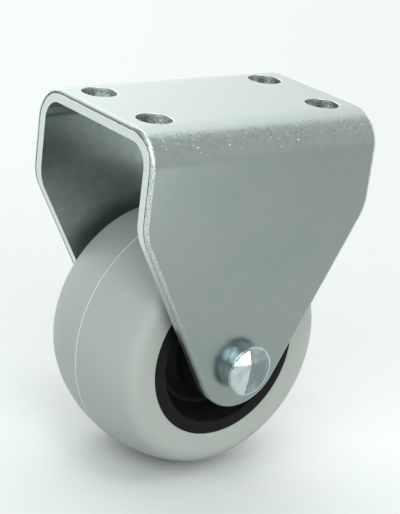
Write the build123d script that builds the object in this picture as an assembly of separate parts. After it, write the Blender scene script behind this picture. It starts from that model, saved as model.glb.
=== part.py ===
from build123d import *
import os
from math import acos, atan2, cos, hypot, sin

# Fixed caster: a wheel on a riveted axle, held in a folded sheet-steel bracket.
# The origin is the centre of the mounting face, which is the flat top of the bracket.
# X is the way the caster rolls, Y runs along the axle, and Z points up. All sizes are in millimetres.

# Bracket, folded from one sheet
sheet = 2.5
plate_length = 52.0
bracket_width = 36.0
bend_inside_radius = 4.0
axle_drop = 46.7
leg_end_drop = 45.9
leg_end_radius = 9.2
leg_shoulder_drop = 18.1
leg_shoulder_radius = 10.0
edge_rounding = 0.6

# Screw holes in the mounting face
screw_hole_diameter = 6.5
screw_spacing_x = 39.0
screw_spacing_y = 17.0
screw_hole_lip = 0.3

# Rivet that is the axle: a collar and a made head on the -Y side, and a head formed by riveting on the +Y side
rivet_diameter = 6.0
rivet_clearance = 0.05
collar_diameter = 8.8
collar_length = 2.1
head_diameter = 9.9
head_side = 0.4
head_dome = 0.8
head_rounding = 0.25
formed_head_diameter = 9.6
formed_head_side = 1.0
formed_head_dome = 1.2
formed_head_flat = 4.5

# Sleeve that keeps the legs apart, and on which the wheel turns
sleeve_diameter = 8.0
running_clearance = 0.06

# Moulded wheel core
core_width = 26.0
core_radius = 16.2
rim_wall = 2.45
rim_chamfer = 0.3
dish_depth = 5.4
dish_floor_radius = 11.5
dish_rounding = 0.8
hub_radius = 8.7
hub_draft = 0.25
hub_foot_depth = 3.4
hub_end_clearance = 0.3
hub_end_chamfer = 0.4
key_width = 9.0
key_height = 1.8

# Soft tread round the core
wheel_radius = 25.0
tread_width = 27.0
tread_crown_radius = 30.0
tread_shoulder_radius = 3.0
parting_line_height = 0.12
parting_line_width = 0.4

# Faces that several pieces meet at, measured from the middle of the caster along the axle
leg_outside = bracket_width / 2
leg_inside = leg_outside - sheet
rim_face = core_width / 2
key_side = key_width / 2

# Section plane of everything that is round about the axle: x runs along the axle, y away from it
axle_section = Plane(origin=(0, 0, -axle_drop), x_dir=(0, 1, 0), z_dir=(1, 0, 0))
axle_line = Axis((0, 0, -axle_drop), (0, 1, 0))


def folded_strip():
    """The sheet bent into an upside-down U, before its legs are trimmed to their outline."""
    reach = leg_end_drop + leg_end_radius
    with BuildPart() as strip:
        with BuildSketch(Plane.YZ.offset(-plate_length / 2)) as section:
            bend_section(bracket_width, reach, bend_inside_radius + sheet, 0)
            bend_section(bracket_width - 2 * sheet, reach, bend_inside_radius, -sheet, Mode.SUBTRACT)
        extrude(amount=plate_length)
    return strip.part


def bend_section(width, reach, corner_radius, top, mode=Mode.ADD):
    """A block hanging from the given height, with its two upper corners rounded."""
    with BuildSketch(mode=Mode.PRIVATE) as block:
        with Locations((0, top)):
            Rectangle(width, reach, align=(Align.CENTER, Align.MAX))
        fillet(block.vertices().sort_by(Axis.Y)[-2:], corner_radius)
    add(block.sketch, mode=mode)


def leg_outline():
    """A leg seen along the axle: upright sides, blended shoulders, slanted sides and a round end."""
    half_length = plate_length / 2
    rise = leg_end_drop - leg_shoulder_drop
    touch_angle = atan2(rise, half_length) - acos(leg_end_radius / hypot(half_length, rise))
    touch_x = leg_end_radius * cos(touch_angle)
    touch_z = leg_end_radius * sin(touch_angle) - leg_end_drop
    with BuildSketch() as outline:
        with BuildLine():
            Polyline((-touch_x, touch_z), (-half_length, -leg_shoulder_drop), (-half_length, 0),
                     (half_length, 0), (half_length, -leg_shoulder_drop), (touch_x, touch_z))
            ThreePointArc((touch_x, touch_z), (0, -leg_end_drop - leg_end_radius), (-touch_x, touch_z))
        make_face()
        shoulders = [v for v in outline.vertices() if abs(v.Y + leg_shoulder_drop) < 1e-6]
        fillet(shoulders, leg_shoulder_radius)
    return outline.sketch


def rim_of_outer_face(solid):
    """The edges all round the sheet's outer face, without the lines where a bend meets a flat."""
    bend_radius = bend_inside_radius + sheet
    rim = []
    for edge in solid.edges():
        middle = edge.position_at(0.5)
        past_side = max(abs(middle.Y) - (leg_outside - bend_radius), 0)
        past_top = max(middle.Z + bend_radius, 0)
        on_outer_face = abs(hypot(past_side, past_top) - bend_radius) < 1e-3
        if on_outer_face and not is_bend_line(edge):
            rim.append(edge)
    return rim


def is_bend_line(edge):
    """True for a straight line along X, where a bend runs out into a flat."""
    return edge.geom_type == GeomType.LINE and abs(edge.tangent_at(0.5).X) > 0.999


def bracket():
    """The folded sheet with its legs trimmed, its blanked edges rounded and its holes punched."""
    legs = extrude(Plane.XZ * leg_outline(), amount=bracket_width, both=True)
    folded = folded_strip() & legs
    folded = fillet(rim_of_outer_face(folded), edge_rounding)
    screw_holes = GridLocations(screw_spacing_x, screw_spacing_y, 2, 2)
    for place in screw_holes:
        folded -= place * screw_hole()
    axle_hole = Cylinder(rivet_diameter / 2 + rivet_clearance, 2 * bracket_width, rotation=(90, 0, 0))
    return folded - Pos(0, 0, -axle_drop) * axle_hole


def screw_hole():
    """The space of one punched hole: straight through, and sunk at its rim where the punch entered."""
    radius = screw_hole_diameter / 2
    lip = screw_hole_lip
    through = Cylinder(radius, 4 * sheet)
    return through + Pos(0, 0, -lip / 2) * Cone(radius, radius + lip, lip)


def turned(outline):
    """The solid that a closed outline in the axle's section plane sweeps round the axle."""
    return revolve(axle_section * outline, axis=axle_line)


def axle_rivet():
    """Shank through both legs, with a collar and domed head on one side and a formed head on the other."""
    shank = rivet_diameter / 2
    collar = collar_diameter / 2
    head = head_diameter / 2
    formed = formed_head_diameter / 2
    formed_edge = leg_outside + formed_head_side
    formed_end = formed_edge + formed_head_dome
    head_foot = -leg_outside - collar_length
    head_edge = head_foot - head_side
    with BuildSketch() as outline:
        with BuildLine():
            TangentArc((head_edge - head_dome, 0), (head_edge, head), tangent=(0, 1))
            Polyline((head_edge, head), (head_foot, head), (head_foot, collar), (-leg_outside, collar),
                     (-leg_outside, shank), (leg_outside, shank), (leg_outside, formed), (formed_edge, formed))
            TangentArc((formed_end, formed_head_flat / 2), (formed_edge, formed), tangent=(0, 1))
            Polyline((formed_end, formed_head_flat / 2), (formed_end, 0), (head_edge - head_dome, 0))
        make_face()
        head_corner = [v for v in outline.vertices() if abs(v.X - head_edge) < 1e-6]
        fillet(head_corner, head_rounding)
    return turned(outline.sketch)


def axle_sleeve():
    """Plain steel tube between the legs, round the rivet's shank."""
    inside = rivet_diameter / 2 + rivet_clearance
    wall = sleeve_diameter / 2 - inside
    with BuildSketch() as outline:
        with Locations((0, inside + wall / 2)):
            Rectangle(2 * leg_inside, wall)
    return turned(outline.sketch)


def key_outline():
    """The seat between core and tread on one side of the middle, from the key's top out to the rim face."""
    return [(0, core_radius + key_height), (key_side, core_radius + key_height), (key_side, core_radius),
            (rim_face, core_radius)]


def wheel_core():
    """Hub, dished web and rim of the moulded core, the same on both sides."""
    bore = sleeve_diameter / 2 + running_clearance
    hub_end = leg_inside - hub_end_clearance
    dish_floor = rim_face - dish_depth
    hub_foot = rim_face - hub_foot_depth
    rim_inside = core_radius - rim_wall
    with BuildSketch() as outline:
        with BuildLine():
            Polyline((0, bore), (hub_end, bore), (hub_end, hub_radius - hub_draft), (hub_foot, hub_radius),
                     (dish_floor, dish_floor_radius), (rim_face, rim_inside), *key_outline()[::-1], (0, bore))
        make_face()
        fillet(corners_at(outline, hub_foot) + corners_at(outline, dish_floor), dish_rounding)
        chamfer([v for v in corners_at(outline, rim_face) if v.Y < core_radius - 1e-6], rim_chamfer)
        chamfer(corners_at(outline, hub_end), hub_end_chamfer)
        mirror(about=Plane.YZ)
    return turned(outline.sketch)


def corners_at(outline, along_axle):
    """The outline's corners at one place along the axle."""
    return [v for v in outline.vertices() if abs(v.X - along_axle) < 1e-6]


def tread():
    """Crowned tyre, flush with the core at its sides, with the mould's raised parting line."""
    crown_centre = wheel_radius - tread_crown_radius
    side = tread_width / 2
    side_corner = (side, crown_centre + (tread_crown_radius ** 2 - side ** 2) ** 0.5)
    line_foot = parting_line_width / 2
    line_corner = (line_foot, crown_centre + (tread_crown_radius ** 2 - line_foot ** 2) ** 0.5)
    with BuildSketch() as outline:
        with BuildLine():
            Polyline(*key_outline(), side_corner)
            RadiusArc(side_corner, line_corner, -tread_crown_radius)
            Polyline(line_corner, (0, wheel_radius + parting_line_height), key_outline()[0])
        make_face()
        fillet(corners_at(outline, side), tread_shoulder_radius)
        mirror(about=Plane.YZ)
    return turned(outline.sketch)


def write_parts():
    """Writes each piece to a file of its own, named for the piece."""
    os.makedirs("parts", exist_ok=True)
    for make_piece in (bracket, axle_rivet, axle_sleeve, wheel_core, tread):
        export_step(make_piece(), f"parts/{make_piece.__name__}.step")


write_parts()
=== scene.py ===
import math
import bmesh
import bpy
from mathutils import Matrix, Vector, noise
from mathutils.geometry import delaunay_2d_cdt
from mathutils.kdtree import KDTree


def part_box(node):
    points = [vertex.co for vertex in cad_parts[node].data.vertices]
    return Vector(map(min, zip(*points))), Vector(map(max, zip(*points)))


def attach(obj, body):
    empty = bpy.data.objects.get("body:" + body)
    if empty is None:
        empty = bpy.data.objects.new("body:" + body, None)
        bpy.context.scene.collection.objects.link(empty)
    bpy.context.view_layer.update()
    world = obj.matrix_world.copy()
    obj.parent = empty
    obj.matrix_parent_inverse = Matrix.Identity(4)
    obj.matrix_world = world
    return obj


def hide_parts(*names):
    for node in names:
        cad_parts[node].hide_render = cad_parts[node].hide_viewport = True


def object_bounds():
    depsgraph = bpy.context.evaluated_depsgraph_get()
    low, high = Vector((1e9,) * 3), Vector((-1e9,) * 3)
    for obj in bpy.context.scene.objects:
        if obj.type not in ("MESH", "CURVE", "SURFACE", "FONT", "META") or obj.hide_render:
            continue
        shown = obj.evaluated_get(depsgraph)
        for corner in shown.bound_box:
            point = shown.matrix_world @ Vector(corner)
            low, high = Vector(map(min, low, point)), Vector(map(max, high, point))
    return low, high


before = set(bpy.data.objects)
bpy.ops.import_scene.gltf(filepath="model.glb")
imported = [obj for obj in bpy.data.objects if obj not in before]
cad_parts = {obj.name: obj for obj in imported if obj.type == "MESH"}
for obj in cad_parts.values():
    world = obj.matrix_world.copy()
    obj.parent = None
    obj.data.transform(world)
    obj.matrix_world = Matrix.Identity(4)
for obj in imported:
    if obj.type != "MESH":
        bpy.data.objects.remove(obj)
cad_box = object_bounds()

# BRACKET
# One blank of cold-rolled sheet steel, cut out and pierced in a press, folded into an upside-down U and zinc
# plated. The press leaves a rolled edge on the outer face, then a torn line and a smooth sheared band, and
# the folds stretch the plating into a fine sparkle. The rivet through its two round ends carries the wheel.
mm = 0.001
bracket_low, bracket_high = (Vector(corner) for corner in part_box("bracket"))
rivet_low, rivet_high = (Vector(corner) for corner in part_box("axle_rivet"))
axle_drop = -(rivet_low.z + rivet_high.z) / 2
half_length = bracket_high.x
half_width = bracket_high.y
sheet = 2.5 * mm
bend_radius = 6.5 * mm
leg_end_radius = 9.2 * mm
leg_end_drop = -bracket_low.z - leg_end_radius
leg_shoulder_drop = 18.1 * mm
leg_shoulder_radius = 10.0 * mm
screw_hole_radius = 3.25 * mm
screw_hole_places = [(x * mm, y * mm) for x in (-19.5, 19.5) for y in (-8.5, 8.5)]
axle_hole_radius = 3.05 * mm

# The flat blank: "along" is measured along X, and "across" along Y, round the bend and down the leg
flat_half = half_width - bend_radius
bend_length = (bend_radius - sheet / 2) * math.pi / 2
leg_start = flat_half + bend_length
# The most that a fold draws in the ends of the sheet's outer face
most_draw_in = 0.12 * mm


def across_at(drop):
    """How far from the middle of the blank a place on the leg lies, from its drop below the top."""
    return leg_start + drop - bend_radius


def fold(along, across, depth):
    """The place on the folded bracket of a point of the blank, a depth below its outer face."""
    side = math.copysign(1, across)
    turned = min(max((abs(across) - flat_half) / bend_length, 0), 1)
    angle = turned * math.pi / 2
    radius = bend_radius - depth
    below_bend = max(abs(across) - leg_start, 0)
    draw_in = most_draw_in * math.sin(turned * math.pi) * (1 - depth / sheet)
    x = along * (1 - draw_in / half_length)
    y = side * (min(abs(across), flat_half) + radius * math.sin(angle))
    return Vector((x, y, radius * math.cos(angle) - bend_radius - below_bend))


def arc(centre, radius, start, end, steps=24):
    """Points along an arc of the blank's outline."""
    angles = [start + (end - start) * i / steps for i in range(steps + 1)]
    return [centre + radius * Vector((math.cos(a), math.sin(a))) for a in angles]


def blank_outline():
    """The edge of the flat blank, a closed line that starts half-way along one side of the top."""
    end_centre = Vector((0, across_at(leg_end_drop)))
    shoulder = Vector((half_length, across_at(leg_shoulder_drop)))
    rise = end_centre.y - shoulder.y
    touch = math.atan2(rise, half_length) - math.acos(leg_end_radius / math.hypot(half_length, rise))
    slant_end = end_centre + leg_end_radius * Vector((math.cos(touch), -math.sin(touch)))
    turn = math.acos((slant_end - shoulder).normalized().y)
    back_off = leg_shoulder_radius * math.tan(turn / 2)
    shoulder_centre = shoulder - Vector((leg_shoulder_radius, back_off))
    side = [Vector((half_length, 0))] + arc(shoulder_centre, leg_shoulder_radius, 0, turn)
    round_end = arc(end_centre, leg_end_radius, -touch, math.pi + touch, 48)
    mirrored = [Vector((-p.x, p.y)) for p in reversed(side)]
    half = side + round_end + mirrored
    return half[:-1] + [-p for p in half[:-1]]


def evenly(points, step):
    """A closed line's points set a step apart along it."""
    lengths = [(points[i] - points[i - 1]).length for i in range(len(points))]
    count = round(sum(lengths) / step)
    gap = sum(lengths) / count
    spaced = []
    travelled = 0
    for i in range(len(points)):
        start, stretch = points[i - 1], lengths[i]
        while len(spaced) < count and len(spaced) * gap <= travelled + stretch:
            share = (len(spaced) * gap - travelled) / max(stretch, 1e-9)
            spaced.append(start.lerp(points[i], share))
        travelled += stretch
    return spaced


def circle(centre, radius, step):
    """Points round a hole of the blank."""
    count = round(2 * math.pi * radius / step)
    angles = [2 * math.pi * i / count for i in range(count)]
    return [Vector(centre) + radius * Vector((math.cos(a), math.sin(a))) for a in angles]


# The rolled rim of the outline and of the holes, and the flat strips and the burr that border a cut
edge_step = 0.3 * mm
roll_width = 0.60 * mm
roll_depth = 0.55 * mm
hole_roll = 0.20 * mm
support = 0.15 * mm
burr = 0.05 * mm
# Below the outline's roll comes a torn line, then the sheared band. These are depths below the roll
tear_inset = 0.09 * mm
tear_start = 0.06 * mm
tear_end = 0.24 * mm
band_start = 0.31 * mm
# Below a hole's rim comes a band that the punch burnished, then snapped metal that widens towards the inside
burnished = 0.35 * mm
snap_start = 0.08 * mm
break_out = 0.12 * mm
least_break = 0.4
cut_rows = 6
roll_rows = 6


def edge_profile(width, depth, punched):
    """Rows down a cut edge, from the outer face to the inner one: inset, depth, and what the row is."""
    rows = [(width + support, 0, "face")]
    rolled = "rim" if punched else "roll"
    for i in range(roll_rows + 1):
        angle = i / roll_rows * math.pi / 2
        rows.append((width * (1 - math.sin(angle)), depth * (1 - math.cos(angle)), rolled))
    if punched:
        rows += [(0, depth + share * burnished, "cut") for share in (0.15, 0.6, 1)]
        wall_top = depth + burnished + snap_start
    else:
        rows += [(tear_inset, depth + tear_start, "torn"), (tear_inset, depth + tear_end, "torn")]
        wall_top = depth + band_start
    wall_bottom = sheet - burr
    for i in range(cut_rows + 1):
        share = i / cut_rows
        inset = break_out * (least_break + (1 - least_break) * share) if punched else 0
        rows.append((inset, wall_top + (wall_bottom - wall_top) * share, "broken" if punched else "cut"))
    rows.append((inset + burr, sheet, "face"))
    rows.append((inset + burr + support, sheet, "face"))
    return rows


shell = bmesh.new()
finish_marks = ("cut", "torn", "broken", "roll", "stretch", "inside")
layers = {name: shell.verts.layers.float.new(name) for name in finish_marks}
# The share of the bend at which the plating is broken most, and how far it is broken to each side of that
worst_share = 0.6
broken_reach = 3.6 * mm
# The rolled edge carries a painted highlight that starts at the fold, rises to full strength, and fades down
# the leg
least_roll_highlight = 0.12
roll_highlight_rise = 3 * mm
roll_highlight_fade_start = 16 * mm
roll_highlight_fade = 26 * mm
# How strongly the holes' rolled rims are painted pale: a painted highlight
hole_rim_highlight = 0.5
# The torn line is painted dark, a painted shade in its groove: at least this much, and fully where the rolled
# edge's painted highlight is strong
least_groove_shade = 0.5


def stretch_at(across):
    """How much the fold has broken the outer face's plating: most a little past the middle of the bend."""
    from_worst = abs(across) - flat_half - worst_share * bend_length
    return max(0, 1 - (from_worst / broken_reach) ** 2) ** 2


def roll_highlight_at(across):
    """How strongly the rolled edge is painted pale, a painted highlight: most on the bend and the leg's
    upright.
    """
    past_fold = abs(across) - flat_half
    rise = min(max(past_fold / roll_highlight_rise, 0), 1)
    fade = min(max((past_fold - roll_highlight_fade_start) / roll_highlight_fade, 0), 1)
    return least_roll_highlight + (1 - least_roll_highlight) * rise * (1 - fade)


def add_vert(along, across, depth, kind="face"):
    """One point of the bracket's surface, with what the finish needs to know of it."""
    vert = shell.verts.new(fold(along, across, depth))
    painted_highlight = roll_highlight_at(across)
    vert[layers["cut"]] = float(kind == "cut")
    vert[layers["broken"]] = float(kind == "broken")
    vert[layers["torn"]] = min(least_groove_shade + painted_highlight, 1) if kind == "torn" else 0.0
    # The roll mark carries how strongly the rolled edges and the holes' rims are painted pale, a painted
    # highlight
    vert[layers["roll"]] = {"roll": painted_highlight, "rim": hole_rim_highlight}.get(kind, 0.0)
    vert[layers["stretch"]] = stretch_at(across) if depth < sheet / 2 else 0.0
    vert[layers["inside"]] = float(kind == "face" and depth > sheet / 2)
    return vert


# A cut is never even. Its waves and its grain have these sizes, in millimetres
long_wave = 2.2
short_wave = 0.9
grain_size = 0.35
grain_turn = 3
# They change the width of the roll by these shares, and shift the rows below it by these lengths
least_roll = 0.80
roll_wander = 0.34
sheared_grain = 0.018 * mm
snapped_grain = 0.06 * mm
tear_wander = 0.10 * mm
tear_grain = 0.07 * mm
tear_lift = 0.08 * mm


def cut_edge(line, inward, width, depth, punched=False):
    """The wall of one cut edge or hole. Returns where its rows meet the outer and the inner face."""
    rows = []
    ends = []
    for inset, down, kind in edge_profile(width, depth, punched):
        row = []
        flat = []
        for point, direction in zip(line, inward):
            place = Vector((point.x, point.y, 0)) / mm
            wander = 0.5 + 0.3 * noise.noise(place / long_wave) + 0.3 * noise.noise(place / short_wave)
            grain = 0.5 + 0.5 * noise.noise(place / grain_size + Vector((0, 0, down / mm * grain_turn)))
            at = inset
            low = down
            if kind in ("roll", "rim"):
                at *= least_roll + roll_wander * wander
            elif kind == "cut":
                at += sheared_grain * grain
            elif kind == "broken":
                at += snapped_grain * grain
            elif kind == "torn":
                low += tear_wander * wander + tear_grain * grain - tear_lift
            spot = point + direction * at
            flat.append(spot)
            row.append(add_vert(spot.x, spot.y, low, kind))
        rows.append(row)
        ends.append(flat)
    for upper, lower in zip(rows, rows[1:]):
        for i in range(len(line)):
            shell.faces.new((upper[i - 1], upper[i], lower[i], lower[i - 1]))
    return ends[0], ends[-1]


def inward_of(line, sign=1):
    """The direction into the metal at each point of a closed line that runs anticlockwise round it."""
    directions = []
    for i in range(len(line)):
        along_line = (line[(i + 1) % len(line)] - line[i - 1]).normalized()
        directions.append(sign * Vector((-along_line.y, along_line.x)))
    return directions


outline = evenly(blank_outline(), edge_step)
holes = [(place, screw_hole_radius) for place in screw_hole_places]
holes += [((0, side * across_at(axle_drop)), axle_hole_radius) for side in (-1, 1)]
borders = [cut_edge(outline, inward_of(outline), roll_width, roll_depth)]
for hole_centre, hole_radius in holes:
    rim = circle(hole_centre, hole_radius, edge_step)
    borders.append(cut_edge(rim, inward_of(rim, -1), hole_roll, hole_roll, True))


def fill_face(loops, depth):
    """Covers one face of the sheet between its outline and its holes, with short steps round the bends."""
    points = [p for loop in loops for p in loop]
    edges = []
    first = 0
    for loop in loops:
        edges += [(first + i, first + (i + 1) % len(loop)) for i in range(len(loop))]
        first += len(loop)
    rim_tree = KDTree(len(points))
    for i, p in enumerate(points):
        rim_tree.insert((p.x, p.y, 0), i)
    rim_tree.balance()
    flat_steps = 12
    bend_steps = 20
    leg_steps = 44
    columns = 52
    clear_of_rim = 0.35 * mm
    leg_length = across_at(-bracket_low.z) - leg_start
    stops = [flat_half * i / flat_steps for i in range(flat_steps)]
    stops += [flat_half + bend_length * i / bend_steps for i in range(bend_steps)]
    stops += [leg_start + leg_length * i / leg_steps for i in range(leg_steps)]
    for stop in stops:
        for across in {stop, -stop}:
            for i in range(1, columns):
                p = Vector((half_length * (2 * i / columns - 1), across))
                if rim_tree.find((p.x, p.y, 0))[2] > clear_of_rim:
                    points.append(p)
    inside_outline = 1
    closeness = 1e-9
    verts, _, faces, _, _, _ = delaunay_2d_cdt(points, edges, [], inside_outline, closeness)
    made = [add_vert(v.x, v.y, depth) for v in verts]
    openings = [(Vector(centre), (loop[0] - Vector(centre)).length)
                for (centre, _), loop in zip(holes, loops[1:])]
    for face in faces:
        middle = sum((verts[i] for i in face), Vector((0, 0))) / 3
        if all((middle - centre).length > radius for centre, radius in openings):
            shell.faces.new([made[i] for i in face])


fill_face([outer for outer, _ in borders], 0)
fill_face([inner for _, inner in borders], sheet)
weld_within = 1e-7
bmesh.ops.remove_doubles(shell, verts=shell.verts, dist=weld_within)
bmesh.ops.delete(shell, geom=[v for v in shell.verts if not v.link_faces], context="VERTS")
bmesh.ops.recalc_face_normals(shell, faces=shell.faces)
crease = math.radians(32)


def finish_mesh(built, name):
    """Makes a built shell into an object, smooth except where its faces meet at a crease."""
    for face in built.faces:
        face.smooth = True
    for edge in built.edges:
        edge.smooth = edge.calc_face_angle(0) < crease
    mesh = bpy.data.meshes.new(name)
    built.to_mesh(mesh)
    built.free()
    piece = bpy.data.objects.new(name, mesh)
    bpy.context.scene.collection.objects.link(piece)
    return piece


folded_bracket = finish_mesh(shell, "folded_bracket")


def linear(hex_colour):
    """An sRGB hex colour as the linear colour that a shader socket takes."""
    levels = [int(hex_colour[i:i + 2], 16) / 255 for i in (1, 3, 5)]
    return [c / 12.92 if c <= 0.04045 else ((c + 0.055) / 1.055) ** 2.4 for c in levels] + [1.0]


def add_node(tree, kind, inputs=(), **settings):
    """Adds a node with its settings. Its inputs, in order or by name, take values or nodes to link from."""
    node = tree.nodes.new(kind)
    for name, value in settings.items():
        setattr(node, name, value)
    sockets = [socket for socket in node.inputs if socket.enabled]
    by_name = {socket.name: socket for socket in reversed(sockets)}
    pairs = inputs.items() if isinstance(inputs, dict) else enumerate(inputs)
    for key, value in pairs:
        socket = by_name[key] if isinstance(key, str) else sockets[key]
        if isinstance(value, bpy.types.Node):
            value = next(output for output in value.outputs if output.enabled)
        if isinstance(value, bpy.types.NodeSocket):
            tree.links.new(value, socket)
        else:
            socket.default_value = value
    return node


def new_material(name):
    """An empty material and its tree."""
    material = bpy.data.materials.new(name)
    material.use_nodes = True
    material.node_tree.nodes.clear()
    return material, material.node_tree


def zinc_plated_sheet():
    """Clear-passivated zinc on cold-rolled steel. The eye gets an even, satin, greenish grey with the
    faintest clouds, a fine white sparkle where the bends stretched the plating, and paler, rougher cuts.
    The rolled edges carry a painted highlight, the torn line is painted dark as painted shade, and the
    inside face is painted paler as painted fill light."""
    material, tree = new_material("clear_zinc_plated_sheet_steel")
    place = add_node(tree, "ShaderNodeTexCoord").outputs["Object"]
    cut, torn, broken, roll, stretch, inside = (
        add_node(tree, "ShaderNodeAttribute", attribute_name=name).outputs["Fac"]
        for name in finish_marks)
    clouds = add_node(tree, "ShaderNodeTexNoise", {"Vector": place, "Scale": 1 / (11 * mm), "Detail": 1.5})
    mottle = add_node(tree, "ShaderNodeTexNoise", {"Vector": place, "Scale": 1 / (1.6 * mm), "Detail": 3.0})
    cloudy = add_node(tree, "ShaderNodeMapRange", [clouds, 0.2, 0.8, 0.0, 1.0])
    mottled = add_node(tree, "ShaderNodeMapRange", [mottle, 0.2, 0.8, 0.0, 0.35])
    face = add_node(tree, "ShaderNodeMix", [cloudy, linear("#8E9996"), linear("#969C96")], data_type="RGBA")
    face = add_node(tree, "ShaderNodeMix", [mottled, face, linear("#88918E")], data_type="RGBA")
    chips = add_node(tree, "ShaderNodeTexNoise", {"Vector": place, "Scale": 1 / (0.35 * mm), "Detail": 2.0})
    chips = add_node(tree, "ShaderNodeMapRange", [chips, 0.40, 0.60, 0.0, 1.0])
    # The rolled edges are painted pale, a painted highlight speckled like rough metal
    painted_highlight = add_node(tree, "ShaderNodeMix", [chips, linear("#ADB5B2"), linear("#D3DAD7")], data_type="RGBA")
    rolled = add_node(tree, "ShaderNodeMix", [roll, face, painted_highlight], data_type="RGBA")
    sheared = add_node(tree, "ShaderNodeMix", [cut, rolled, linear("#D4DBD8")], data_type="RGBA")
    chipped = add_node(tree, "ShaderNodeMix", [chips, linear("#7D8683"), linear("#C6CECB")],
                       data_type="RGBA")
    snapped = add_node(tree, "ShaderNodeMix", [broken, sheared, chipped], data_type="RGBA")
    # The inside face of the U is painted paler, a painted fill light for its shaded interior, with a mottle
    painted_fill_inside = add_node(tree, "ShaderNodeMix", [mottled, linear("#C6CECB"), linear("#7A8380")],
                      data_type="RGBA")
    recess = add_node(tree, "ShaderNodeMix", [inside, snapped, painted_fill_inside], data_type="RGBA")
    # The torn line is painted dark, a painted shade in the groove under the roll, broken into gaps
    gaps = add_node(tree, "ShaderNodeTexNoise", {"Vector": place, "Scale": 1 / (0.9 * mm), "Detail": 2.0})
    gaps = add_node(tree, "ShaderNodeMapRange", [gaps, 0.32, 0.50, 0.40, 1.0])
    torn = add_node(tree, "ShaderNodeMath", [torn, gaps], operation="MULTIPLY")
    colour = add_node(tree, "ShaderNodeMix", [torn, recess, linear("#39403E")], data_type="RGBA")
    smoothness = add_node(tree, "ShaderNodeMapRange", [clouds, 0.2, 0.8, 0.276, 0.296])
    roughness = add_node(tree, "ShaderNodeMath", [cut, 0.03, smoothness], operation="MULTIPLY_ADD")
    roughness = add_node(tree, "ShaderNodeMath", [broken, 0.06, roughness], operation="MULTIPLY_ADD")
    roughness = add_node(tree, "ShaderNodeMath", [roll, 0.08, roughness], operation="MULTIPLY_ADD")
    roughness = add_node(tree, "ShaderNodeMath", [inside, -0.04, roughness], operation="MULTIPLY_ADD")
    # Heights are in micrometres
    peel = add_node(tree, "ShaderNodeTexNoise", {"Vector": place, "Scale": 1 / (1.2 * mm), "Detail": 2.0})
    grit = add_node(tree, "ShaderNodeTexNoise", {"Vector": place, "Scale": 1 / (0.30 * mm), "Detail": 2.0})
    height = add_node(tree, "ShaderNodeMath", [peel, 5.0], operation="MULTIPLY")
    height = add_node(tree, "ShaderNodeMath", [grit, 2.0, height], operation="MULTIPLY_ADD")
    bump = add_node(tree, "ShaderNodeBump", {"Strength": 1.0, "Distance": 1e-6, "Height": height})
    # Each crystal that the bend or the die has torn loose lies at an angle of its own, a few of them steeply
    longwise = add_node(tree, "ShaderNodeMapping", {"Vector": place, "Scale": (0.6, 1.0, 1.0)})
    crystals = add_node(tree, "ShaderNodeTexVoronoi", {"Vector": longwise, "Scale": 1 / (0.17 * mm)})
    lean = add_node(tree, "ShaderNodeVectorMath", [crystals.outputs["Color"], (0.5, 0.5, 0.5)],
                    operation="SUBTRACT")
    steep = add_node(tree, "ShaderNodeVectorMath", [lean], operation="LENGTH").outputs["Value"]
    steep = add_node(tree, "ShaderNodeMapRange", [steep, 0.30, 0.70, 0.03, 1.0])
    torn_loose = add_node(tree, "ShaderNodeMath", [roll, 0.5, stretch], operation="MULTIPLY_ADD")
    amount = add_node(tree, "ShaderNodeMath", [steep, torn_loose], operation="MULTIPLY")
    patches = add_node(tree, "ShaderNodeMapRange", [mottle, 0.36, 0.56, 0.12, 0.80])
    amount = add_node(tree, "ShaderNodeMath", [amount, patches], operation="MULTIPLY")
    lean = add_node(tree, "ShaderNodeVectorMath", {"Vector": lean, "Scale": amount}, operation="SCALE")
    leaning = add_node(tree, "ShaderNodeVectorMath", [bump, lean], operation="ADD")
    normal = add_node(tree, "ShaderNodeVectorMath", [leaning], operation="NORMALIZE")
    shader = add_node(tree, "ShaderNodeBsdfPrincipled", {"Base Color": colour, "Metallic": 1.0,
                                                         "Roughness": roughness, "Normal": normal})
    add_node(tree, "ShaderNodeOutputMaterial", {"Surface": shader})
    return material


folded_bracket.data.materials.append(zinc_plated_sheet())
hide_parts("bracket")
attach(folded_bracket, "fork")

# AXLE RIVET
# A cold-headed steel rivet, plated brighter than the sheet, that is also the wheel's axle. The near head
# stands off the leg on a collar, and its face has the seven shallow facets of a worn heading die. The far end
# is hammered over.
collar_radius = 4.4 * mm
collar_length = 2.1 * mm
head_radius = rivet_high.x
head_side = 0.4 * mm
head_edge = -half_width - collar_length - head_side
head_apex = rivet_low.y
shank_radius = 3.0 * mm
formed_radius = 4.8 * mm
formed_side = 1.0 * mm
formed_apex = rivet_high.y
facet_point = Vector((-0.5, 1.7)) * mm
# Each facet's bearing from the point where they meet, anticlockwise from +X, and its tilt, both in degrees,
# and how bright it is painted, from 0 to 1: a painted reflection
facets = ((130, 13.5, 0.6), (192, 9.0, 0.85), (240, 6.0, 1.0), (285, 5.5, 0.15), (335, 6.5, 0.0),
          (20, 7.5, 0.1), (72, 12.0, 0.3))
rim_width = 0.42 * mm
face_radius = head_radius - rim_width
facet_blend = 0.012 * mm
face_crown = 0.10 * mm
face_set_back = 0.03 * mm
apex_clearance = 0.02 * mm


def facet_heights(x, z):
    """The height of each facet's plane at a place on the near head's face."""
    spot = Vector((x, z)) - facet_point
    heights = []
    for bearing, tilt, _ in facets:
        outwards = Vector((math.cos(math.radians(bearing)), math.sin(math.radians(bearing))))
        heights.append(-math.tan(math.radians(tilt)) * outwards.dot(spot))
    return heights


def facet_height(x, z):
    """The height of the near head's face, up to a constant: its lowest facet, with a slight crown."""
    shares = [math.exp(-height / facet_blend) for height in facet_heights(x, z)]
    return -facet_blend * math.log(sum(shares)) - face_crown * (math.hypot(x, z) / face_radius) ** 2


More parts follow.
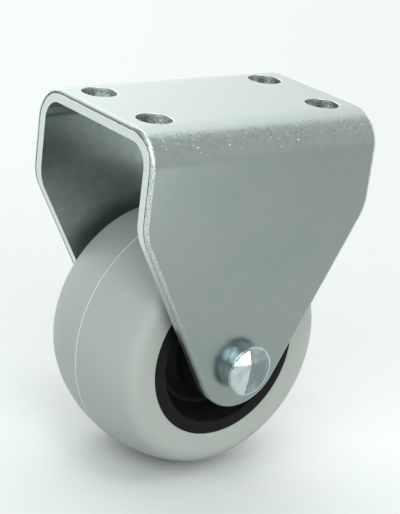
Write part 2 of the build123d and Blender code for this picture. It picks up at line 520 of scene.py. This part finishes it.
round_steps = 160
rim_angles = [2 * math.pi * i / round_steps for i in range(round_steps)]
lowest_facet = min(facet_height(face_radius * math.cos(a), face_radius * math.sin(a)) for a in rim_angles)
facet_rise = head_edge - head_apex - face_set_back - apex_clearance
facet_scale = facet_rise / (facet_height(*facet_point) - lowest_facet)


def near_face(x, z):
    """Where the near head's face lies along the axle, with the die's faint dents."""
    dent_depth = 0.010 * mm
    dent_size = 0.8 * mm
    dent = dent_depth * noise.noise(Vector((x, 0, z)) / dent_size)
    return head_edge - face_set_back - facet_scale * (facet_height(x, z) - lowest_facet) + dent


def far_face(x, z):
    """Where the hammered far head's face lies along the axle: flat in the middle, with soft dents."""
    flat_share = 0.42
    dent_depth = 0.05 * mm
    dent_size = 1.1 * mm
    noise_place = 5 * mm
    past_flat = max(math.hypot(x, z) / formed_radius - flat_share, 0) / (1 - flat_share)
    crown = math.sqrt(max(1 - past_flat ** 2, 0))
    dent = dent_depth * (0.5 + 0.5 * noise.noise(Vector((x, noise_place, z)) / dent_size))
    return half_width + formed_side + (formed_apex - half_width - formed_side - dent) * crown


rivet = bmesh.new()
highlight_layer = rivet.verts.layers.float.new("painted_highlight")
# Each ring round a head is painted lighter on one side, a painted highlight: this share is even all round,
# and this turn sets where it is lightest
even_highlight = 0.6
highlight_bearing = 0.6


def add_ring(radius, place, painted_brightness=0.8):
    """A ring of points round the axle. Its place along the axle is a number, or follows from x and z."""
    ring = []
    for angle in rim_angles:
        x, z = radius * math.cos(angle), radius * math.sin(angle)
        y = place(x, z) if callable(place) else place
        vert = rivet.verts.new((x, y, z - axle_drop))
        if place is near_face:
            heights = facet_heights(x, z)
            # Each facet is painted as light as its listed share: a painted reflection
            vert[highlight_layer] = facets[heights.index(min(heights))][2]
        else:
            # One side of the ring is painted lighter: a painted highlight
            vert[highlight_layer] = painted_brightness * (even_highlight + (1 - even_highlight) * math.cos(angle + highlight_bearing))
        ring.append(vert)
    return ring


face_steps = 44
rim_steps = 8
far_steps = 24
pole_radius = 0.02 * mm
rim_drop = 0.2 * mm
# The head's rim is painted lighter still: a painted highlight
rim_highlight_strength = 1.1
rings = [add_ring(max(face_radius * i / face_steps, pole_radius), near_face) for i in range(face_steps + 1)]
for i in range(1, rim_steps + 1):
    angle = i / rim_steps * math.pi / 2
    edge_place = head_edge + rim_drop * (1 - math.cos(angle))
    rings.append(add_ring(face_radius + rim_width * math.sin(angle), edge_place, rim_highlight_strength))
# Down the head's side and in under it, along the collar with its groove, then the shank and the far head
under_head = -half_width - collar_length
profile = [(head_radius, under_head - 0.12 * mm), (head_radius - 0.05 * mm, under_head - 0.03 * mm),
           (head_radius - 0.15 * mm, under_head), (collar_radius, under_head),
           (collar_radius - 0.06 * mm, under_head + 0.12 * mm), (collar_radius, under_head + 0.3 * mm),
           (collar_radius, -half_width - 0.1 * mm), (collar_radius - 0.05 * mm, -half_width),
           (shank_radius, -half_width), (shank_radius, half_width),
           (formed_radius, half_width), (formed_radius, half_width + formed_side * 0.6)]
rings += [add_ring(radius, place) for radius, place in profile]
far_radii = [max(formed_radius * (1 - i / far_steps), pole_radius) for i in range(far_steps + 1)]
rings += [add_ring(radius, far_face) for radius in far_radii]
for upper, lower in zip(rings, rings[1:]):
    for i in range(round_steps):
        rivet.faces.new((upper[i - 1], upper[i], lower[i], lower[i - 1]))
rivet.faces.new(rings[0])
rivet.faces.new(rings[-1])
bmesh.ops.recalc_face_normals(rivet, faces=rivet.faces)
headed_rivet = finish_mesh(rivet, "headed_rivet")


def bright_zinc():
    """Bright zinc over cold-headed steel. The eye gets near mirrors on the heads, with shallow dimples and
    painted reflections that brighten some facets and one side of each head, and a duller, bluer collar
    between them that is painted pale, a painted highlight."""
    material, tree = new_material("bright_zinc_plated_steel")
    place = add_node(tree, "ShaderNodeTexCoord").outputs["Object"]
    painted_highlight = add_node(tree, "ShaderNodeAttribute", attribute_name="painted_highlight").outputs["Fac"]
    clouds = add_node(tree, "ShaderNodeTexNoise", {"Vector": place, "Scale": 1 / (1.6 * mm), "Detail": 4.0})
    patchy = add_node(tree, "ShaderNodeMapRange", [clouds, 0.3, 0.7, -0.22, 0.22])
    painted_brightness = add_node(tree, "ShaderNodeMath", [painted_highlight, patchy], operation="ADD")
    colour = add_node(tree, "ShaderNodeMix", [painted_brightness, linear("#7C8789"), linear("#CDD6D5")],
                      data_type="RGBA")
    roughness = add_node(tree, "ShaderNodeMapRange", [clouds, 0.3, 0.7, 0.09, 0.16])
    # Both heads carry the painted reflections. What lies between them is duller and keeps the blue of the
    # plating, and it is painted pale: a painted highlight for the light band that the collar reflects
    along_axle = add_node(tree, "ShaderNodeSeparateXYZ", [place]).outputs["Y"]
    head_foot = head_edge + head_side
    blend = 0.1 * mm
    past_head = add_node(tree, "ShaderNodeMapRange", [along_axle, head_foot - blend, head_foot, 0.0, 1.0])
    before_far = add_node(tree, "ShaderNodeMapRange", [along_axle, half_width - blend, half_width, 1.0, 0.3])
    between_heads = add_node(tree, "ShaderNodeMath", [past_head, before_far], operation="MULTIPLY")
    colour = add_node(tree, "ShaderNodeMix", [between_heads, colour, linear("#B8C8D0")], data_type="RGBA")
    roughness = add_node(tree, "ShaderNodeMath", [between_heads, 0.11, roughness], operation="MULTIPLY_ADD")
    # Heights are in micrometres
    dimples = add_node(tree, "ShaderNodeTexNoise", {"Vector": place, "Scale": 1 / (0.7 * mm), "Detail": 3.0})
    height = add_node(tree, "ShaderNodeMath", [dimples, 9.0], operation="MULTIPLY")
    bump = add_node(tree, "ShaderNodeBump", {"Strength": 1.0, "Distance": 1e-6, "Height": height})
    shader = add_node(tree, "ShaderNodeBsdfPrincipled", {"Base Color": colour, "Metallic": 1.0,
                                                         "Roughness": roughness, "Normal": bump})
    add_node(tree, "ShaderNodeOutputMaterial", {"Surface": shader})
    return material


headed_rivet.data.materials.append(bright_zinc())
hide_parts("axle_rivet")
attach(headed_rivet, "fork")

# AXLE SLEEVE
# A plain cut length of drawn steel tube round the rivet, clamped between the legs so that they can't pinch
# the wheel. It is almost hidden, so the solid itself shows, with the fine lines that drawing leaves along it.


def drawn_tube():
    """Drawn steel tube, lightly oiled. The eye gets a mid grey with fine lines along the axle."""
    material, tree = new_material("drawn_steel_tube")
    place = add_node(tree, "ShaderNodeTexCoord").outputs["Object"]
    stretched = add_node(tree, "ShaderNodeMapping", {"Vector": place, "Scale": (1.0, 0.04, 1.0)})
    lines = add_node(tree, "ShaderNodeTexNoise", {"Vector": stretched, "Scale": 1 / (0.2 * mm)})
    colour = add_node(tree, "ShaderNodeMix", [lines, linear("#8F9090"), linear("#B4B5B4")], data_type="RGBA")
    roughness = add_node(tree, "ShaderNodeMapRange", [lines, 0.2, 0.8, 0.3, 0.45])
    # Heights are in micrometres
    height = add_node(tree, "ShaderNodeMath", [lines, 4.0], operation="MULTIPLY")
    bump = add_node(tree, "ShaderNodeBump", {"Strength": 1.0, "Distance": 1e-6, "Height": height})
    shader = add_node(tree, "ShaderNodeBsdfPrincipled", {"Base Color": colour, "Metallic": 1.0,
                                                         "Roughness": roughness, "Normal": bump})
    add_node(tree, "ShaderNodeOutputMaterial", {"Surface": shader})
    return material


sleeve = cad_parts["axle_sleeve"]
sleeve.data.materials.clear()
sleeve.data.materials.append(drawn_tube())

# WHEEL CORE
# One injection moulding in black nylon: a hub that turns on the sleeve, a dished web on each side and a rim.
# A low key round the rim holds the tread, which is moulded over it.
core_high = Vector(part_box("wheel_core")[1])
core_radius = 16.2 * mm
rim_face = 13.0 * mm
rim_wall = 2.45 * mm
dish_floor = rim_face - 5.4 * mm
dish_floor_radius = 11.5 * mm
hub_radius = 8.7 * mm
hub_foot = rim_face - 3.4 * mm
hub_end = core_high.y
bore_radius = 4.06 * mm
key_side = 4.5 * mm
key_radius = core_high.x


def section_round_axle():
    """The tree that rounds a section's corners, sweeps it round the axle and roughens it where marked."""
    tree = bpy.data.node_groups.new("section_round_axle", "GeometryNodeTree")
    for name, kind in (("Section", "Geometry"), ("Path Radius", "Float"), ("Steps Round", "Int"),
                       ("Corner Steps", "Int"), ("Axle Drop", "Float"), ("Ragged By", "Float"),
                       ("Ragged Size", "Float"), ("Crease", "Float"), ("Finish", "Material")):
        tree.interface.new_socket(name, in_out="INPUT", socket_type="NodeSocket" + kind)
    tree.interface.new_socket("Ring", in_out="OUTPUT", socket_type="NodeSocketGeometry")
    given = add_node(tree, "NodeGroupInput").outputs
    rounding = add_node(tree, "GeometryNodeInputNamedAttribute", {"Name": "rounding"}, data_type="FLOAT")
    line = add_node(tree, "GeometryNodeMeshToCurve", {"Mesh": given["Section"]})
    section = add_node(tree, "GeometryNodeFilletCurve",
                       {"Curve": line, "Count": given["Corner Steps"], "Radius": rounding,
                        "Limit Radius": True}, mode="POLY")
    path = add_node(tree, "GeometryNodeCurvePrimitiveCircle", {"Resolution": given["Steps Round"],
                                                              "Radius": given["Path Radius"]})
    ring = add_node(tree, "GeometryNodeCurveToMesh", {"Curve": path, "Profile Curve": section})
    drop = add_node(tree, "ShaderNodeMath", [given["Axle Drop"], -1.0], operation="MULTIPLY")
    centre = add_node(tree, "ShaderNodeCombineXYZ", {"Z": drop})
    upright = add_node(tree, "GeometryNodeTransform", {"Geometry": ring, "Translation": centre,
                                                      "Rotation": (math.pi / 2, 0, 0)})
    fineness = add_node(tree, "ShaderNodeMath", [1.0, given["Ragged Size"]], operation="DIVIDE")
    seed = 7.0
    random = add_node(tree, "ShaderNodeTexNoise", {"Scale": fineness, "W": seed}, noise_dimensions="4D")
    below = add_node(tree, "ShaderNodeMath", [random, 1.0], operation="SUBTRACT")
    marked = add_node(tree, "GeometryNodeInputNamedAttribute", {"Name": "marked"}, data_type="FLOAT")
    amount = add_node(tree, "ShaderNodeMath", [marked, given["Ragged By"]], operation="MULTIPLY")
    push = add_node(tree, "ShaderNodeMath", [amount, below], operation="MULTIPLY")
    normal = add_node(tree, "GeometryNodeInputNormal")
    offset = add_node(tree, "ShaderNodeVectorMath", {"Vector": normal, "Scale": push}, operation="SCALE")
    ragged = add_node(tree, "GeometryNodeSetPosition", {"Geometry": upright, "Offset": offset})
    fold_angle = add_node(tree, "GeometryNodeInputMeshEdgeAngle")
    gentle = add_node(tree, "ShaderNodeMath", [fold_angle, given["Crease"]], operation="LESS_THAN")
    smooth = add_node(tree, "GeometryNodeSetShadeSmooth", {"Geometry": ragged, "Shade Smooth": gentle},
                      domain="EDGE")
    finished = add_node(tree, "GeometryNodeSetMaterial", {"Geometry": smooth, "Material": given["Finish"]})
    real = add_node(tree, "GeometryNodeRealizeInstances", {"Geometry": finished})
    add_node(tree, "NodeGroupOutput", [real])
    return tree


round_axle = section_round_axle()


def turned_piece(name, half_section, finish, ragged_by):
    """Sweeps a section round the axle. Half of it is given, as (along axle, radius, rounding, marked)."""
    section = half_section + [(-along, radius, rounding, marked)
                              for along, radius, rounding, marked in reversed(half_section)]
    drawn = bpy.data.meshes.new(name)
    edges = [(i, (i + 1) % len(section)) for i in range(len(section))]
    drawn.from_pydata([(radius - core_radius, -along, 0) for along, radius, _, _ in section], edges, [])
    for title, column in (("rounding", 2), ("marked", 3)):
        attribute = drawn.attributes.new(title, "FLOAT", "POINT")
        attribute.data.foreach_set("value", [row[column] for row in section])
    piece = bpy.data.objects.new(name, drawn)
    bpy.context.scene.collection.objects.link(piece)
    modifier = piece.modifiers.new("round_axle", "NODES")
    modifier.node_group = round_axle
    values = {"Path Radius": core_radius, "Steps Round": 224, "Corner Steps": 7, "Axle Drop": axle_drop,
              "Ragged By": ragged_by, "Ragged Size": 1.5 * mm, "Crease": crease, "Finish": finish}
    for socket in round_axle.interface.items_tree:
        if socket.name in values:
            modifier[socket.identifier] = values[socket.name]
    swept = bpy.data.meshes.new_from_object(piece.evaluated_get(bpy.context.evaluated_depsgraph_get()))
    piece.modifiers.clear()
    piece.data = swept
    return piece


def black_nylon():
    """Injection-moulded black nylon. The eye gets a deep black with a dull satin skin."""
    material, tree = new_material("black_moulded_nylon")
    place = add_node(tree, "ShaderNodeTexCoord").outputs["Object"]
    clouds = add_node(tree, "ShaderNodeTexNoise", {"Vector": place, "Scale": 1 / (5 * mm), "Detail": 2.0})
    colour = add_node(tree, "ShaderNodeMix", [clouds, linear("#0E0F0E"), linear("#161715")], data_type="RGBA")
    roughness = add_node(tree, "ShaderNodeMapRange", [clouds, 0.3, 0.7, 0.38, 0.48])
    # Heights are in micrometres
    skin = add_node(tree, "ShaderNodeTexNoise", {"Vector": place, "Scale": 1 / (0.5 * mm), "Detail": 2.0})
    height = add_node(tree, "ShaderNodeMath", [skin, 5.0], operation="MULTIPLY")
    bump = add_node(tree, "ShaderNodeBump", {"Strength": 1.0, "Distance": 1e-6, "Height": height})
    shader = add_node(tree, "ShaderNodeBsdfPrincipled", {"Base Color": colour, "Roughness": roughness,
                                                         "Specular IOR Level": 0.08, "Normal": bump})
    add_node(tree, "ShaderNodeOutputMaterial", {"Surface": shader})
    return material


core_section = [(hub_end - 0.4 * mm, bore_radius, 0, 0), (hub_end, bore_radius + 0.3 * mm, 0, 0),
                (hub_end, hub_radius - 0.25 * mm, 0.5 * mm, 0), (hub_foot, hub_radius, 0.8 * mm, 0),
                (dish_floor, dish_floor_radius, 0.8 * mm, 0), (rim_face, core_radius - rim_wall, 0.3 * mm, 0),
                (rim_face, core_radius, 0.08 * mm, 0), (key_side, core_radius, 0, 0),
                (key_side, key_radius, 0.1 * mm, 0)]
moulded_core = turned_piece("moulded_core", core_section, black_nylon(), 0.0)
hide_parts("wheel_core")
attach(moulded_core, "wheel")

# TREAD
# Soft grey thermoplastic rubber, moulded over the core and flush with it at the sides. Its crown is slightly
# rounded, its shoulders well rounded, and the mould's two halves leave a fine raised line at its middle.
line_radius = Vector(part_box("tread")[1]).x
wheel_radius = line_radius - 0.12 * mm
tread_side = 13.5 * mm
crown_radius = 30.0 * mm
shoulder_rounding = 3.0 * mm
line_half_width = 0.16 * mm


def crown_at(along):
    """The radius of the tread's crown at a place along the axle."""
    return wheel_radius - crown_radius + math.sqrt(crown_radius ** 2 - along ** 2)


def grey_rubber():
    """Moulded thermoplastic rubber in light grey. The eye gets a matt, even face with a soft sheen at the
    shoulders, the faintest mould grain, and a painted highlight along the parting line."""
    material, tree = new_material("grey_thermoplastic_rubber")
    place = add_node(tree, "ShaderNodeTexCoord").outputs["Object"]
    clouds = add_node(tree, "ShaderNodeTexNoise", {"Vector": place, "Scale": 1 / (6 * mm), "Detail": 3.0})
    face = add_node(tree, "ShaderNodeMix", [clouds, linear("#9A9F98"), linear("#A1A69F")], data_type="RGBA")
    # The parting line is painted paler along its ridge: a painted highlight
    marked = add_node(tree, "ShaderNodeAttribute", attribute_name="marked").outputs["Fac"]
    ridge_highlight = add_node(tree, "ShaderNodeMapRange", [marked, 0.25, 0.75, 0.0, 1.0])
    colour = add_node(tree, "ShaderNodeMix", [ridge_highlight, face, linear("#CDD1C8")], data_type="RGBA")
    roughness = add_node(tree, "ShaderNodeMapRange", [clouds, 0.3, 0.7, 0.46, 0.56])
    # Heights are in micrometres
    skin = add_node(tree, "ShaderNodeTexNoise", {"Vector": place, "Scale": 1 / (0.6 * mm), "Detail": 3.0})
    height = add_node(tree, "ShaderNodeMath", [skin, 6.0], operation="MULTIPLY")
    bump = add_node(tree, "ShaderNodeBump", {"Strength": 1.0, "Distance": 1e-6, "Height": height})
    shader = add_node(tree, "ShaderNodeBsdfPrincipled", {"Base Color": colour, "Roughness": roughness,
                                                         "Normal": bump})
    add_node(tree, "ShaderNodeOutputMaterial", {"Surface": shader})
    return material


tread_section = [(key_side, key_radius, 0.1 * mm, 0), (key_side, core_radius, 0, 0),
                 (rim_face, core_radius, 0.12 * mm, 0),
                 (tread_side, crown_at(tread_side), shoulder_rounding, 0)]
crown_stops = [along * mm for along in (9.5, 8, 6.5, 5, 3.8, 2.6, 1.6, 0.8, 0.4)]
tread_section += [(along, crown_at(along), 0, 0) for along in crown_stops]
tread_section += [(line_half_width, crown_at(line_half_width), 0, 0), (0.05 * mm, line_radius, 0, 1)]
flash_wander = 0.03 * mm
moulded_tread = turned_piece("moulded_tread", tread_section, grey_rubber(), flash_wander)
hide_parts("tread")
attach(moulded_tread, "wheel")

# STUDIO
# The photo's viewpoint, a plain pale floor, and soft light: a bright wall behind, a lamp in front, one at the
# left and one above, and a small card low in front for the rivet's head.
image_height = 514
azimuth = math.radians(-39.952)
elevation = math.radians(20.529)
roll_angle = math.radians(7.223)
camera_distance = 295.095 * mm
focal_pixels = 1550.777
aim = Vector((0.32137, -1.71034, -30.96624)) * mm
back = Vector((math.sin(azimuth) * math.cos(elevation), -math.cos(azimuth) * math.cos(elevation),
               math.sin(elevation)))
right = Vector((math.cos(azimuth), math.sin(azimuth), 0))
up = back.cross(right)
right_rolled = math.cos(roll_angle) * right + math.sin(roll_angle) * up
up_rolled = math.cos(roll_angle) * up - math.sin(roll_angle) * right
camera = bpy.data.objects.new("camera", bpy.data.cameras.new("camera"))
camera.data.sensor_width = 36
camera.data.lens = focal_pixels / image_height * camera.data.sensor_width
camera.data.clip_start = 0.01
camera.matrix_world = Matrix((right_rolled, up_rolled, back)).transposed().to_4x4()
camera.matrix_world.translation = aim + camera_distance * back
bpy.context.scene.collection.objects.link(camera)
bpy.context.scene.camera = camera


def white_paper():
    """Matt white paper. The eye gets a plain pale ground that takes a soft shadow. It is painted a little
    darker just in front of the caster, a painted shade, and painted paler behind it and far away, a painted
    light."""
    material, tree = new_material("matt_white_paper")
    place = add_node(tree, "ShaderNodeTexCoord").outputs["Object"]
    fibres = add_node(tree, "ShaderNodeTexNoise", {"Vector": place, "Scale": 1 / (3 * mm), "Detail": 3.0})
    near = add_node(tree, "ShaderNodeMix", [fibres, linear("#CBCDCB"), linear("#CFD1CF")], data_type="RGBA")
    backwards = add_node(tree, "ShaderNodeSeparateXYZ", [place]).outputs["Y"]
    # Behind the caster the paper is painted paler: painted light
    far_share = add_node(tree, "ShaderNodeMapRange", [backwards, 0.05, 0.35, 0.0, 1.0])
    paler = add_node(tree, "ShaderNodeMix", [far_share, near, linear("#DEE0DE")], data_type="RGBA")
    # Just in front of the caster it is painted darker: painted shade
    front_share = add_node(tree, "ShaderNodeMapRange", [backwards, -0.07, -0.17, 0.0, 1.0])
    dimmer = add_node(tree, "ShaderNodeMix", [front_share, paler, linear("#C3C5C3")], data_type="RGBA")
    # Far out in front it is painted paler again: painted light
    horizon_share = add_node(tree, "ShaderNodeMapRange", [backwards, -0.20, -0.50, 0.0, 1.0])
    colour = add_node(tree, "ShaderNodeMix", [horizon_share, dimmer, linear("#D8DAD8")], data_type="RGBA")
    shader = add_node(tree, "ShaderNodeBsdfPrincipled", {"Base Color": colour, "Roughness": 0.9,
                                                         "Specular IOR Level": 0.2})
    add_node(tree, "ShaderNodeOutputMaterial", {"Surface": shader})
    return material


floor_reach = 6
floor_level = cad_box[0][2]
corners = [(x * floor_reach, y * floor_reach, floor_level) for x, y in ((-1, -1), (1, -1), (1, 1), (-1, 1))]
floor = bpy.data.objects.new("floor", bpy.data.meshes.new("floor"))
floor.data.from_pydata(corners, [], [(0, 1, 2, 3)])
floor.data.materials.append(white_paper())
bpy.context.scene.collection.objects.link(floor)


def add_lamp(name, direction, distance, size, power, colour=(1.0, 1.0, 1.0)):
    """A soft rectangular lamp that shines on the caster from one direction and doesn't show itself."""
    lamp = bpy.data.objects.new(name, bpy.data.lights.new(name, "AREA"))
    lamp.data.energy = power
    lamp.data.color = colour
    lamp.data.shape = "RECTANGLE"
    lamp.data.size, lamp.data.size_y = size
    away = Vector(direction).normalized()
    lamp.location = Vector((0, 0, -axle_drop)) + away * distance
    lamp.rotation_euler = away.to_track_quat("Z", "Y").to_euler()
    lamp.visible_camera = False
    bpy.context.scene.collection.objects.link(lamp)


add_lamp("key_lamp", (-0.12, -0.91, 0.38), 1.0, (0.45, 0.45), 2.8)
add_lamp("left_lamp", (-0.62, -0.50, 0.60), 0.7, (0.80, 0.50), 3.2, (0.82, 0.93, 1.0))
add_lamp("top_lamp", (-0.16, -0.20, 0.967), 1.0, (0.34, 0.34), 2.3)
add_lamp("front_card", (0.345, -0.93, -0.06), 0.20, (0.038, 0.038), 0.0105)

# The room is dimmer at the left than at the right, with a bright wall behind the caster that darkens
# towards its right-hand corner
room = bpy.data.worlds.new("room")
room.use_nodes = True
room_tree = room.node_tree
room_tree.nodes.clear()
compass = add_node(room_tree, "ShaderNodeTexCoord").outputs["Generated"]
compass = add_node(room_tree, "ShaderNodeSeparateXYZ", [compass]).outputs
side = add_node(room_tree, "ShaderNodeMapRange", [compass["X"], 0.10, 0.55, 0.32, 1.15])
higher = add_node(room_tree, "ShaderNodeMapRange", [compass["Z"], 0.25, 0.75, 1.95, 2.60])
corner = add_node(room_tree, "ShaderNodeMapRange", [compass["X"], 0.50, 0.69, 1.18, 0.74])
back_wall = add_node(room_tree, "ShaderNodeMath", [higher, corner], operation="MULTIPLY")
rightwards = add_node(room_tree, "ShaderNodeMath", [compass["X"], 0.507], operation="MULTIPLY")
towards_wall = add_node(room_tree, "ShaderNodeMath", [compass["Y"], 0.862, rightwards],
                        operation="MULTIPLY_ADD")
wall = add_node(room_tree, "ShaderNodeMapRange", [towards_wall, 0.335, 0.37, 0.0, 1.0])
strength = add_node(room_tree, "ShaderNodeMapRange", [wall, 0.0, 1.0, side, back_wall])
glow = add_node(room_tree, "ShaderNodeBackground", {"Color": linear("#F6FAFA"), "Strength": strength})
add_node(room_tree, "ShaderNodeOutputWorld", {"Surface": glow})
bpy.context.scene.world = room
bpy.context.scene.view_settings.view_transform = "Standard"
